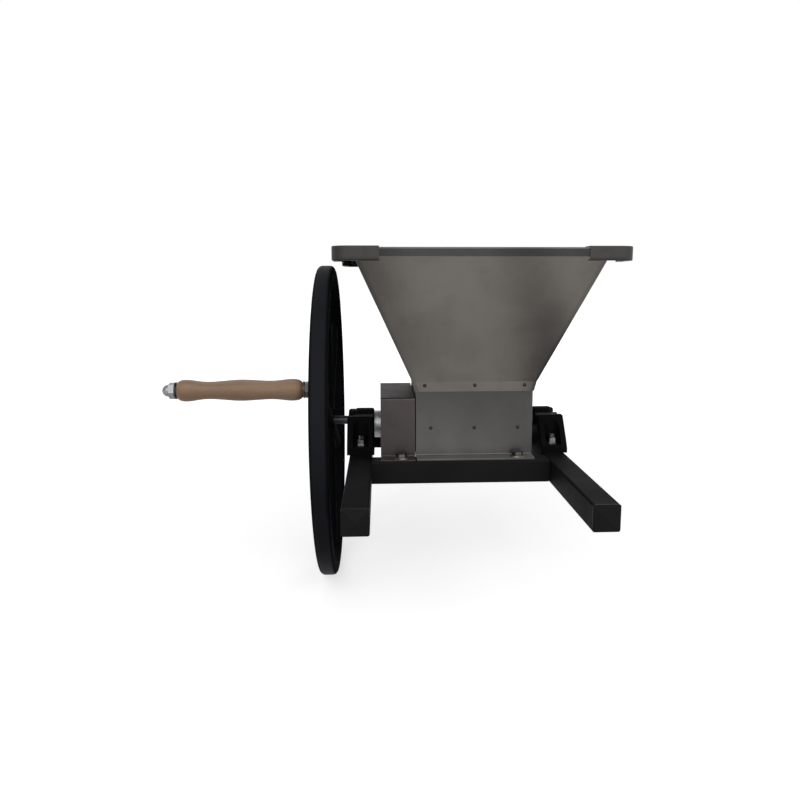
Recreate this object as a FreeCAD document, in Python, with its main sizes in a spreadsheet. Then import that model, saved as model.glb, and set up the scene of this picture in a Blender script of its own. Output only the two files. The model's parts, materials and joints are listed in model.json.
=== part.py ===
import FreeCAD, Part
import math
import os
import re
import Sketcher
from FreeCAD import Placement, Rotation, Vector

# A hand cranked apple scratter: hopper, grinding chamber, drum, frame, flywheel and crank.
# +X runs along the shaft, away from the flywheel; -Y is the side where the user stands; +Z is up.
# The origin lies midway between the legs, under the shaft, in the plane of the legs' undersides.

# ---------------------------------------------------------------- driving sizes, mm and degrees
SIZES = {
    # frame of square tube
    "tube_side": 30,
    "tube_wall": 2,
    "leg_length": 620,
    "leg_gap": 233,
    "tube_corner": 2.5,
    "rail_height": 20,
    "plug_flange": 2,
    "plug_peak": 3,
    "plug_depth": 12,
    # grinding chamber of sheet steel
    "chamber_centre": 20,
    "chamber_width": 155,
    "chamber_depth": 158,
    "chamber_height": 100,
    "chamber_sheet": 1.5,
    "flange_width": 22,
    "bend_radius": 1.5,
    "wall_bearing": 5,
    "comb_sheet": 3,
    "comb_height": 36,
    "comb_tooth": 6,
    "comb_gap": 1.5,
    "comb_rise": 2,
    "comb_rivet_pitch": 58,
    # discharge chute
    "chute_sheet": 1.2,
    "chute_drop": 5,
    "chute_gap": 0.3,
    # hopper
    "hopper_sheet": 1.2,
    "hopper_rise": 168.9,
    "side_flare": 76.7,
    "front_flare": 64,
    "skirt_height": 13,
    "skirt_taper": 3.5,
    "skirt_rivet_drop": 5,
    "skirt_rivet_pitch": 66,
    "rim_width": 21,
    "rim_drop": 11,
    "rim_bend": 0.5,
    "cap_length": 54.6,
    "cap_wall": 1.5,
    "cap_height": 17,
    "cap_lip": 7,
    "cap_corner": 18,
    "cap_edge": 1.4,
    # guard beside the chamber
    "guard_width": 45.2,
    "guard_height": 80,
    "guard_gap": 1.5,
    "ring_radius": 19,
    "ring_wall": 2,
    "ring_clearance": 0.8,
    "ring_length": 8.8,
    # shaft and its bearings
    "shaft_rise": 37.5,
    "shaft_radius": 10,
    "journal_radius": 6,
    "shaft_clearance": 0.4,
    "seal_radius": 16,
    "seal_lip": 2.5,
    "key_width": 4,
    "bearing_radius": 14,
    "bearing_width": 10,
    "inner_ring_length": 27.5,
    "inner_ring_radius": 8.4,
    "outer_ring_bore": 11.3,
    "ball_radius": 2.2,
    "ball_clearance": 0.1,
    "set_screw_radius": 1.5,
    # bearing blocks
    "block_length": 127,
    "block_width": 37,
    "block_foot": 11,
    "block_shoulder": 48,
    "block_shoulder_length": 68,
    "block_round": 3,
    "recess_length": 54,
    "recess_floor": 20,
    "recess_corner": 4,
    "dome_radius": 17,
    "dome_width": 26,
    "boss_cover_radius": 14.6,
    "pocket_radius": 10.5,
    "stud_spacing": 95,
    "stud_radius": 4,
    "stud_reach": 18.2,
    "stud_nut_height": 6.5,
    # fasteners of chamber and guard
    "bolt_radius": 4,
    "bolt_length": 14,
    "chamber_bolt_offset": 56.5,
    "guard_bolt_inset": 18,
    "washer_radius": 9.8,
    "washer_thickness": 1.6,
    # drum
    "drum_radius": 55,
    "drum_length": 142,
    "blade_thickness": 3,
    "blade_depth": 20,
    "blade_stand": 3.5,
    "disc_radius": 53,
    "disc_thickness": 2.5,
    "disc_screw_circle": 36,
    "fit_gap": 0.1,
    "bore_gap": 0.02,
    "thread_gap": 0.05,
    # flywheel
    "wheel_radius": 215,
    "wheel_width": 22,
    "wheel_centre": 176,
    "rim_depth": 20,
    "rim_round": 6,
    "hub_radius": 27,
    "hub_length": 21,
    "spoke_width": 30,
    "spoke_thickness": 11,
    "end_nut_height": 7,
    # crank
    "crank_radius": 190,
    "crank_angle": 159,
    "boss_radius": 15,
    "spindle_radius": 5,
    "spindle_nut_height": 5.5,
    "grip_length": 145.6,
    "grip_radius": 12.8,
    "grip_end_gap": 0.3,
    "bush_radius": 7,
    "bush_length": 14,
    "bush_clearance": 0.06,
    "acorn_height": 15,
}

BLADES = 4
SPOKES = 6
BALLS = 8
COMB_SLOTS = 12
BLADE_TEETH = 12
RIVET_HEAD = (2.6, 1.1)
RIVET_SHANK = 1.6
RIVET_TAIL = 1.0
HEX = {"spindle": 17, "stud": 13, "flange": 13, "end": 18}    # widths across flats

doc = FreeCAD.newDocument("AppleScratter")
sheet = doc.addObject("Spreadsheet::Sheet", "Sizes")
for row, (alias, size) in enumerate(SIZES.items(), start=1):
    sheet.set(f"A{row}", str(size))
    sheet.setAlias(f"A{row}", alias)
doc.recompute()

# ---------------------------------------------------------------- places that several pieces share
LEG_X = "(leg_gap + tube_side) / 2"
FRAME_TOP = "tube_side"
AXIS_Z = "(tube_side + shaft_rise)"
CROSS_IN = "(chamber_depth / 2 - wall_bearing)"
CROSS_MID = "(chamber_depth / 2 - wall_bearing + tube_side / 2)"
CHAMBER_Z = "(tube_side + chute_sheet)"
CHAMBER_TOP = "(tube_side + chute_sheet + chamber_height)"
CHAMBER_LEFT = "(chamber_centre - chamber_width / 2)"
CHAMBER_RIGHT = "(chamber_centre + chamber_width / 2)"
GUARD_RIGHT = f"({CHAMBER_LEFT} - guard_gap)"
GUARD_LEFT = f"({CHAMBER_LEFT} - guard_gap - guard_width)"
GUARD_BOLT = f"({CHAMBER_LEFT} - guard_gap - guard_bolt_inset)"
BOLT_LINE = "(chamber_depth / 2 + bend_radius + washer_radius + 0.3)"
BLOCK_IN = "((leg_gap + tube_side - block_width) / 2)"
BEARING_MID = f"({BLOCK_IN} + dome_width / 2)"
BEARING_IN = f"({BEARING_MID} - bearing_width / 2)"
RACE_RADIUS = "((inner_ring_radius + outer_ring_bore) / 2)"
BLADE_TIP = "(drum_radius + blade_stand)"
DRUM_LEFT = "(chamber_centre - drum_length / 2)"
WHEEL_LEFT = "(-wheel_centre - wheel_width / 2)"
HUB_RIGHT = "(-wheel_centre + 3)"
HUB_LEFT = "(-wheel_centre + 3 - hub_length)"
COMB_Z = f"({AXIS_Z} + comb_rise)"
RING_DROP = "(ring_radius - ring_wall - ring_clearance - shaft_radius)"
RIVET_Z = f"({CHAMBER_TOP} - skirt_rivet_drop)"
NUT_SIDE = f"({WHEEL_LEFT} - spindle_nut_height)"
GRIP_RIGHT = f"({NUT_SIDE} - washer_thickness - grip_end_gap)"
GRIP_LEFT = f"({GRIP_RIGHT} - grip_length)"
TIP_WASHER_LEFT = f"({GRIP_LEFT} - grip_end_gap - washer_thickness)"

TO_X = Rotation(Vector(0, 1, 0), 90)          # turns local +Z to +X
TO_MINUS_X = Rotation(Vector(0, 1, 0), -90)
TO_Y = Rotation(Vector(1, 0, 0), -90)         # turns local +Z to +Y
TO_MINUS_Y = Rotation(Vector(1, 0, 0), 90)
LEVEL = Rotation()

nodes = []


# ---------------------------------------------------------------- small helpers
def sized(text):
    """Point each size's name in an expression at its cell."""
    def cell(word):
        return f"Sizes.{word.group()}" if word.group() in SIZES else word.group()
    return re.sub(r"[a-z_]+", cell, str(text))


def bind(item, **sizes):
    for name, text in sizes.items():
        item.setExpression(name.replace("__", "."), sized(text))


def value(text):
    return float(sheet.evalExpression(sized(text).replace("Sizes.", "")))


def place(item, x=0, y=0, z=0, turn=LEVEL):
    item.Placement = Placement(Vector(), turn)
    bind(item, Placement__Base__x=x, Placement__Base__y=y, Placement__Base__z=z)
    return item


def box(x, y, z, dx, dy, dz):
    """A block from its lowest corner."""
    item = doc.addObject("Part::Box", "Block")
    bind(item, Length=dx, Width=dy, Height=dz)
    return place(item, x, y, z)


def rod(radius, length, x=0, y=0, z=0, turn=LEVEL):
    item = doc.addObject("Part::Cylinder", "Rod")
    bind(item, Radius=radius, Height=length)
    return place(item, x, y, z, turn)


def cone(low_radius, high_radius, length, x=0, y=0, z=0, turn=LEVEL):
    item = doc.addObject("Part::Cone", "Taper")
    bind(item, Radius1=low_radius, Radius2=high_radius, Height=length)
    return place(item, x, y, z, turn)


def ball(radius, x=0, y=0, z=0):
    item = doc.addObject("Part::Sphere", "Ball")
    bind(item, Radius=radius)
    return place(item, x, y, z)


def fuse(*parts):
    item = doc.addObject("Part::MultiFuse", "Joined")
    item.Shapes = list(parts)
    item.Refine = True
    return item


def cut(base, *tools):
    item = doc.addObject("Part::Cut", "Cut")
    item.Base = base
    item.Tool = tools[0] if len(tools) == 1 else group(*tools)
    return item


def common(first, second):
    item = doc.addObject("Part::Common", "Shared")
    item.Base = first
    item.Tool = second
    return item


def group(*parts):
    """Separate solids kept together."""
    item = doc.addObject("Part::Compound", "Group")
    item.Links = list(parts)
    return item


def rounded(base, radius, wanted):
    """Fillet the edges of base for which wanted(edge) is true."""
    doc.recompute()
    edges = [n for n, edge in enumerate(base.Shape.Edges, start=1) if wanted(edge)]
    item = doc.addObject("Part::Fillet", "Rounded")
    item.Base = base
    item.Edges = [(n, radius, radius) for n in edges]
    return item


def bent(base, bends):
    """Round the bends of a folded sheet, each an edge along X at its (y, z) with its own radius."""
    doc.recompute()
    found = []
    for y, z, radius in bends:
        spot = Vector(0, value(y), value(z))
        for n, edge in enumerate(base.Shape.Edges, start=1):
            start = edge.Vertexes[0].Point
            if is_along_x(edge) and Vector(0, start.y, start.z).distanceToPoint(spot) < 1e-6:
                found.append((n, value(radius), value(radius)))
    item = doc.addObject("Part::Fillet", "Bends")
    item.Base = base
    item.Edges = found
    return item


def plane_of(body, role):
    return [feature for feature in body.Origin.OriginFeatures if feature.Role == role][0]


def sketch(body, role, loops):
    """Closed outlines of straight sides, and circles, each point bound to the sizes."""
    item = body.newObject("Sketcher::SketchObject", "Outline")
    item.AttachmentSupport = [(plane_of(body, role), "")]
    item.MapMode = "FlatFace"
    for loop in loops:
        if loop[0] == "circle":
            add_circle(item, *loop[1:])
        else:
            add_polygon(item, loop)
    return item


def hold(item, kind, index, point, text):
    """Tie one coordinate of a point to the origin."""
    constraint = item.addConstraint(Sketcher.Constraint(kind, -1, 1, index, point, 1.0))
    item.setExpression(f"Constraints[{constraint}]", sized(text))


def add_circle(item, x, y, radius):
    index = item.addGeometry(Part.Circle(Vector(), Vector(0, 0, 1), 1), False)
    hold(item, "DistanceX", index, 3, x)
    hold(item, "DistanceY", index, 3, y)
    constraint = item.addConstraint(Sketcher.Constraint("Radius", index, 1.0))
    item.setExpression(f"Constraints[{constraint}]", sized(radius))


def add_polygon(item, points):
    first = item.GeometryCount
    corners = [Vector(value(x), value(y), 0) for x, y in points]
    for start, end in zip(corners, corners[1:] + corners[:1]):
        item.addGeometry(Part.LineSegment(start, end), False)
    count = len(points)
    for n in range(count):
        item.addConstraint(Sketcher.Constraint("Coincident", first + n, 2, first + (n + 1) % count, 1))
    for n, (x, y) in enumerate(points):
        hold(item, "DistanceX", first + n, 1, x)
        hold(item, "DistanceY", first + n, 1, y)


def padded(role, loops, length, symmetric=False):
    """A body padded from one sketch along its plane's normal."""
    body = doc.addObject("PartDesign::Body", "Body")
    pad = body.newObject("PartDesign::Pad", "Pad")
    pad.Profile = sketch(body, role, loops)
    bind(pad, Length=length)
    pad.SideType = "Symmetric" if symmetric else "One side"
    return body


def turned(points):
    """A body turned about the X axis from an outline of (x, radius) points."""
    body = doc.addObject("PartDesign::Body", "Body")
    profile = sketch(body, "XY_Plane", [points])
    turning = body.newObject("PartDesign::Revolution", "Turning")
    turning.Profile = profile
    turning.ReferenceAxis = (plane_of(body, "X_Axis"), [""])
    turning.Angle = 360
    return body


def hexagon(flats, height, **where):
    """A hexagon whose upper corners are chamfered."""
    prism = doc.addObject("Part::Prism", "Hexagon")
    prism.Polygon = 6
    prism.Circumradius = flats / math.sqrt(3)
    bind(prism, Height=height)
    top = 0.48 * flats
    chamfer = cone(f"{top} + 1.6 * ({height})", top, height)
    return place(common(prism, chamfer), **where)


def nut(flats, height, bore, **where):
    blank = hexagon(flats, height)
    return place(cut(blank, rod(bore, f"{height} + 2", z=-1)), **where)


def washer(radius, bore, height, **where):
    return place(cut(rod(radius, height), rod(bore, f"{height} + 2", z=-1)), **where)


def node(label, item):
    """Name a finished sub-part."""
    item.Label = label
    nodes.append(item)
    return item


def on_rotor(item, x=0):
    """Place a piece drawn about the local X axis on the shaft's axis."""
    return place(item, x, 0, AXIS_Z)


# ---------------------------------------------------------------- frame
def tube(width, height, length):
    """A rectangular tube along local +X, its underside at Z 0."""
    outer = [(f"-({width}) / 2", 0), (f"({width}) / 2", 0),
             (f"({width}) / 2", height), (f"-({width}) / 2", height)]
    inner = [(f"-({width}) / 2 + tube_wall", "tube_wall"), (f"({width}) / 2 - tube_wall", "tube_wall"),
             (f"({width}) / 2 - tube_wall", f"{height} - tube_wall"),
             (f"-({width}) / 2 + tube_wall", f"{height} - tube_wall")]
    blank = padded("YZ_Plane", [outer, inner], length)
    return rounded(blank, value("tube_corner"), lambda edge: is_along_x(edge) and on_outline(edge, width))


def on_outline(edge, width):
    """True for the edges at the tube's outer corners."""
    return abs(abs(edge.Vertexes[0].Point.y) - value(width) / 2) < 1e-6


def make_legs():
    quarter_turn = Rotation(Vector(0, 0, 1), 90)
    for label, side in (("left_leg", "-"), ("right_leg", "")):
        leg = tube("tube_side", "tube_side", "leg_length - 2 * plug_flange")
        place(leg, f"{side}{LEG_X}", "plug_flange - leg_length / 2", 0, quarter_turn)
        holes = [rod("stud_radius + fit_gap", "tube_wall + 2", f"{side}{LEG_X}", f"{end}stud_spacing / 2",
                     f"{FRAME_TOP} - tube_wall - 1") for end in ("", "-")]
        node(label, cut(leg, *holes))


def flange_bolt_spots():
    """The four places where chamber and guard are bolted down."""
    chamber = "(chamber_centre + chamber_bolt_offset)"
    return [(x, f"{end}{BOLT_LINE}") for x in (GUARD_BOLT, chamber) for end in ("-", "")]


def make_cross_members():
    rail_z = "tube_side - rail_height"
    for label, end, height, base in (("front_cross_tube", "-", "tube_side", "0"),
                                     ("rear_cross_rail", "", "rail_height", rail_z)):
        member = tube("tube_side", height, "leg_gap")
        place(member, "-leg_gap / 2", f"{end}{CROSS_MID}", base)
        holes = [rod("bolt_radius + 1.5 + fit_gap", "tube_wall + 2", x, y, f"{FRAME_TOP} - tube_wall - 1")
                 for x, y in flange_bolt_spots() if y.startswith("-") == (end == "-")]
        node(label, cut(member, *holes))


def end_plug():
    """A square plug: a stub in the tube, a flange on its end and a shallow pyramid, facing +Y."""
    stub_side = "(tube_side - 2 * tube_wall - 2 * fit_gap)"
    stub = box(f"-{stub_side} / 2", "-plug_depth", f"tube_wall + fit_gap", stub_side, "plug_depth", stub_side)
    flange = box("-tube_side / 2", 0, 0, "tube_side", "plug_flange", "tube_side")
    pyramid = doc.addObject("Part::Wedge", "Pyramid")
    bind(pyramid, Xmin="-tube_side / 2", Xmax="tube_side / 2", Zmin=0, Zmax="tube_side",
         X2min=-0.5, X2max=0.5, Z2min="tube_side / 2 - 0.5", Z2max="tube_side / 2 + 0.5",
         Ymin="plug_flange", Ymax="plug_flange + plug_peak")
    outline = rounded(box("-tube_side / 2", 0, 0, "tube_side", "plug_flange + plug_peak", "tube_side"),
                      value("tube_corner"), is_along_y)
    return fuse(stub, common(fuse(flange, pyramid), outline))


def make_leg_plugs():
    plugs = []
    for side in ("-", ""):
        for end, turn in (("", LEVEL), ("-", Rotation(Vector(0, 0, 1), 180))):
            reach = f"{end}(leg_length / 2 - plug_flange)"
            plugs.append(place(end_plug(), f"{side}{LEG_X}", reach, 0, turn))
    node("leg_end_plugs", group(*plugs))


# ---------------------------------------------------------------- grinding chamber
def rivet(length):
    """A round headed rivet along local +Z, its head's underside at Z 0 and its shank below."""
    head = common(ball(f"{RIVET_HEAD[0]} * 1.25", z=f"{RIVET_HEAD[1]} - {RIVET_HEAD[0]} * 1.25"),
                  rod(RIVET_HEAD[0], RIVET_HEAD[1]))
    shank = rod(RIVET_SHANK, length, z=f"-({length})")
    tail = rod(RIVET_HEAD[0] * 0.8, RIVET_TAIL, z=f"-({length}) - {RIVET_TAIL}")
    return fuse(head, shank, tail)


def chamber_wall(bolt_side):
    """A front wall about the chamber's middle, with its bottom folded out as a flange."""
    outline = [("-chamber_depth / 2 - flange_width", CHAMBER_Z),
               ("-chamber_depth / 2 + chamber_sheet", CHAMBER_Z),
               ("-chamber_depth / 2 + chamber_sheet", CHAMBER_TOP),
               ("-chamber_depth / 2", CHAMBER_TOP),
               ("-chamber_depth / 2", f"{CHAMBER_Z} + chamber_sheet"),
               ("-chamber_depth / 2 - flange_width", f"{CHAMBER_Z} + chamber_sheet")]
    wall = place(padded("YZ_Plane", [outline], "chamber_width"), "-chamber_width / 2")
    wall = bent(wall, [("-chamber_depth / 2", f"{CHAMBER_Z} + chamber_sheet", "bend_radius"),
                       ("-chamber_depth / 2 + chamber_sheet", CHAMBER_Z, "bend_radius + chamber_sheet")])
    bolt_hole = rod("bolt_radius + fit_gap", "chamber_sheet + 2", f"{bolt_side}chamber_bolt_offset",
                    f"-{BOLT_LINE}", f"{CHAMBER_Z} - 1")
    rivet_holes = [rod(f"{RIVET_SHANK} + thread_gap", "chamber_sheet + 2", f"{n} * comb_rivet_pitch",
                       "-chamber_depth / 2 - 1", COMB_Z, TO_Y) for n in (-1, 0, 1)]
    skirt_holes = [rod(f"{RIVET_SHANK} + thread_gap", "chamber_sheet + 2", f"{n} * skirt_rivet_pitch",
                       "-chamber_depth / 2 - 1", RIVET_Z, TO_Y) for n in (-1, 0, 1)]
    return cut(wall, bolt_hole, *rivet_holes, *skirt_holes)


def comb():
    """An angle riveted inside the front wall, whose toothed leaf reaches towards the drum."""
    wall_face = "(-chamber_depth / 2 + chamber_sheet)"
    low = f"({COMB_Z} - comb_height / 2)"
    reach = f"(-{BLADE_TIP} - comb_gap)"
    outline = [(wall_face, low), (reach, low), (reach, f"{low} + comb_sheet"),
               (f"{wall_face} + comb_sheet", f"{low} + comb_sheet"),
               (f"{wall_face} + comb_sheet", f"{low} + comb_height"), (wall_face, f"{low} + comb_height")]
    angle = place(padded("YZ_Plane", [outline], "drum_length"), "-drum_length / 2")
    slots = [box(f"-drum_length / 2 + ({n} + 0.5) * drum_length / {COMB_SLOTS} - comb_tooth / 2",
                 f"{reach} - 8", f"{low} - 1", "comb_tooth", 9, "comb_sheet + 2") for n in range(COMB_SLOTS)]
    holes = [rod(f"{RIVET_SHANK} + thread_gap", "comb_sheet + 2", f"{n} * comb_rivet_pitch", f"{wall_face} - 1",
                 COMB_Z, TO_Y) for n in (-1, 0, 1)]
    return cut(angle, *slots, *holes)


def make_chamber_walls():
    half_turn = Rotation(Vector(0, 0, 1), 180)
    for end, turn, bolt_side in (("front", LEVEL, ""), ("rear", half_turn, "-")):
        node(f"chamber_{end}_plate", place(chamber_wall(bolt_side), "chamber_centre", turn=turn))
        node(f"{end}_comb", place(comb(), "chamber_centre", turn=turn))


def make_chamber_sides():
    sheet_y = "-chamber_depth / 2 + chamber_sheet"
    span = "chamber_depth - 2 * chamber_sheet"
    for side, x in (("left", CHAMBER_LEFT), ("right", f"{CHAMBER_RIGHT} - chamber_sheet")):
        plate = box(x, sheet_y, CHAMBER_Z, "chamber_sheet", span, "chamber_height")
        hole = rod("seal_radius + bore_gap", "chamber_sheet + 2", f"{x} - 1", 0, AXIS_Z, TO_X)
        node(f"chamber_{side}_plate", cut(plate, hole))


def make_comb_rivets():
    grip = "chamber_sheet + comb_sheet"
    rivets = []
    for n in (-1, 0, 1):
        x = f"chamber_centre + {n} * comb_rivet_pitch"
        rivets.append(place(rivet(grip), x, "-chamber_depth / 2", COMB_Z, TO_MINUS_Y))
        rivets.append(place(rivet(grip), x, "chamber_depth / 2", COMB_Z, TO_Y))
    node("comb_rivets", group(*rivets))


def make_skirt_rivets():
    grip = "chamber_sheet + hopper_sheet"
    rivets = []
    for n in (-1, 0, 1):
        x = f"chamber_centre + {n} * skirt_rivet_pitch"
        rivets.append(place(rivet(grip), x, "-chamber_depth / 2 - hopper_sheet", RIVET_Z, TO_MINUS_Y))
        rivets.append(place(rivet(grip), x, "chamber_depth / 2 + hopper_sheet", RIVET_Z, TO_Y))
    node("skirt_rivets", group(*rivets))


def make_chute():
    """A sleeve under the chamber, hung from lips between the cross members and the chamber's flanges."""
    half_width = "(chamber_width / 2 - chute_gap)"
    half_depth = f"({CROSS_IN} - chute_gap)"
    low = "-chute_drop"
    height = f"({CHAMBER_Z} + chute_drop)"
    sleeve = box(f"-{half_width}", f"-{half_depth}", low, f"2 * {half_width}", f"2 * {half_depth}", height)
    lip_reach = "(chamber_depth / 2 + flange_width)"
    lips = box(f"-{half_width}", f"-{lip_reach}", FRAME_TOP, f"2 * {half_width}", f"2 * {lip_reach}",
               "chute_sheet")
    hollow = box(f"-{half_width} + chute_sheet", f"-{half_depth} + chute_sheet", f"{low} - 1",
                 f"2 * ({half_width} - chute_sheet)", f"2 * ({half_depth} - chute_sheet)", f"{height} + 2")
    holes = [rod("bolt_radius + fit_gap", "chute_sheet + 2", "chamber_bolt_offset", f"{end}{BOLT_LINE}",
                 f"{FRAME_TOP} - 1") for end in ("-", "")]
    node("discharge_chute", place(cut(fuse(sleeve, lips), hollow, *holes), "chamber_centre"))


def make_shaft_seals():
    """Lipped rings in the chamber's side plates, open by a clearance round the turning shaft."""
    for side, x, turn in (("left", CHAMBER_LEFT, TO_MINUS_X), ("right", CHAMBER_RIGHT, TO_X)):
        ring = fuse(rod("seal_radius + 3", "seal_lip"), rod("seal_radius", "chamber_sheet", z="-chamber_sheet"))
        bore = rod("shaft_radius + shaft_clearance", "seal_lip + chamber_sheet + 2", z="-chamber_sheet - 1")
        node(f"{side}_shaft_seal", place(cut(ring, bore), x, 0, AXIS_Z, turn))


# ---------------------------------------------------------------- hopper
def hopper_panel(half_span, distance, taper, side_taper, flare, side_flare, rivet_spots):
    """One side of the hopper, drawn as the front one: skirt, slope and folded rim, mitred at its ends.

    The skirt leans out by its taper up to the fold, and the slope by its flare. The neighbours' taper and
    flare set where the panel ends.
    """
    slope = f"({flare} / hopper_rise)"
    thick = f"(hopper_sheet * sqrt(1 + {slope}^2))"
    top = f"({CHAMBER_TOP} + hopper_rise)"
    low = f"({CHAMBER_TOP} - skirt_height)"
    fold = f"(-{distance} - {taper})"
    fold_drop = f"(({thick} - hopper_sheet) / ({slope} - {taper} / skirt_height))"
    lip = f"({fold} - {flare} - rim_width)"
    outline = [(f"-{distance}", low), (fold, CHAMBER_TOP), (f"{fold} - {flare}", top), (lip, top),
               (lip, f"{top} - rim_drop"), (f"{lip} + hopper_sheet", f"{top} - rim_drop"),
               (f"{lip} + hopper_sheet", f"{top} - hopper_sheet"),
               (f"{fold} - {flare} + hopper_sheet * {slope} - {thick}", f"{top} - hopper_sheet"),
               (f"{fold} - hopper_sheet + {taper} / skirt_height * {fold_drop}", f"{CHAMBER_TOP} - {fold_drop}"),
               (f"-{distance} - hopper_sheet", low)]
    half_fold = f"({half_span} + {side_taper})"
    half_top = f"({half_fold} + {side_flare})"
    half_rim = f"({half_top} + rim_width)"
    strip = place(padded("YZ_Plane", [outline], f"2 * {half_rim}"), f"-{half_rim}")
    strip = bent(strip, [(lip, top, "rim_bend + hopper_sheet"),
                         (f"{lip} + hopper_sheet", f"{top} - hopper_sheet", "rim_bend")])
    mitre = padded("XY_Plane", [mirrored([(half_fold, f"-{distance} + 10"), (half_fold, fold),
                                          (half_top, f"{fold} - {flare}"), (half_rim, lip)])], f"{top} + 1")
    sides = padded("XZ_Plane", [mirrored([(f"{half_span} + hopper_sheet", low),
                                          (f"{half_fold} + hopper_sheet", CHAMBER_TOP),
                                          (f"{half_rim} + 1", CHAMBER_TOP), (f"{half_rim} + 1", f"{top} + 1")])],
                   f"-2 * {lip} + 2", symmetric=True)
    corners = rounded(box(f"-{half_rim}", lip, 0, f"2 * {half_rim}", f"-2 * {lip}", f"{top} + 1"),
                      value("cap_corner"), is_upright)
    panel = common(common(common(strip, mitre), sides), corners)
    holes = [rod(f"{RIVET_SHANK} + thread_gap", "hopper_sheet + 2", x, f"-{distance} - hopper_sheet - 1",
                 RIVET_Z, TO_Y) for x in rivet_spots]
    return cut(panel, *holes) if holes else panel


def mirrored(points):
    """An outline that runs up the right-hand side and back down the left."""
    return points + [(f"-({x})", y) for x, y in reversed(points)]


def is_upright(edge):
    low, high = edge.Vertexes[0].Point, edge.Vertexes[-1].Point
    return abs(low.x - high.x) < 1e-6 and abs(low.y - high.y) < 1e-6 and abs(low.z - high.z) > 1e-6


def make_hopper_panels():
    spots = [f"{n} * skirt_rivet_pitch" for n in (-1, 0, 1)]
    riveted = ("(chamber_width / 2)", "(chamber_depth / 2)", "0", "skirt_taper", "front_flare", "side_flare", spots)
    leaning = ("(chamber_depth / 2)", "(chamber_width / 2)", "skirt_taper", "0", "side_flare", "front_flare", [])
    for side, angle, form in (("front", 0, riveted), ("right", 90, leaning), ("rear", 180, riveted),
                              ("left", 270, leaning)):
        turn = Rotation(Vector(0, 0, 1), angle)
        node(f"hopper_{side}_panel", place(hopper_panel(*form), "chamber_centre", turn=turn))


def corner_cap():
    """A moulded cap over one rim corner; the rim's corner is at the local origin and inward is +X, +Y."""
    low = "(-cap_height)"
    outer = rounded(box("-cap_wall", "-cap_wall", f"{low} + cap_wall", "cap_length + cap_wall",
                        "cap_length + cap_wall", "cap_height"),
                    value("cap_corner + cap_wall"), lambda edge: is_upright(edge) and near_corner(edge))
    outer = rounded(outer, value("cap_edge"), lambda edge: not is_upright(edge) and on_cap_outline(edge))
    rim_space = rounded(box("-fit_gap", "-fit_gap", f"{low} + 2 * cap_wall", "cap_length + 10", "cap_length + 10",
                            "cap_height - 2 * cap_wall"),
                        value("cap_corner"), lambda edge: is_upright(edge) and near_corner(edge))
    inner_edge = "(rim_width + cap_wall)"
    opening = box(inner_edge, inner_edge, f"{low} - 1", "cap_length + 10", "cap_length + 10", "cap_height + 5")
    below = box("cap_lip", "cap_lip", f"{low} - 1", "cap_length + 10", "cap_length + 10", "2 * cap_wall + 2")
    return cut(outer, rim_space, opening, below)


def near_corner(edge):
    point = edge.Vertexes[0].Point
    return point.x < 1 and point.y < 1


def on_cap_outline(edge):
    """True for the level edges round a cap's outside, and false for those where it meets the bare rim."""
    box = edge.BoundBox
    return min(box.XMax, box.YMax) < value("cap_corner") + 1


def make_corner_caps():
    reach_x = "(chamber_width / 2 + skirt_taper + side_flare + rim_width)"
    reach_y = "(chamber_depth / 2 + front_flare + rim_width)"
    top = f"({CHAMBER_TOP} + hopper_rise)"
    for name, x_sign, y_sign, angle in (("front_left", "-", "-", 0), ("front_right", "+", "-", 90),
                                        ("rear_right", "+", "", 180), ("rear_left", "-", "", 270)):
        node(f"rim_cap_{name}", place(corner_cap(), f"chamber_centre {x_sign} {reach_x}", f"{y_sign}{reach_y}",
                                      top, Rotation(Vector(0, 0, 1), angle)))


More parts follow.
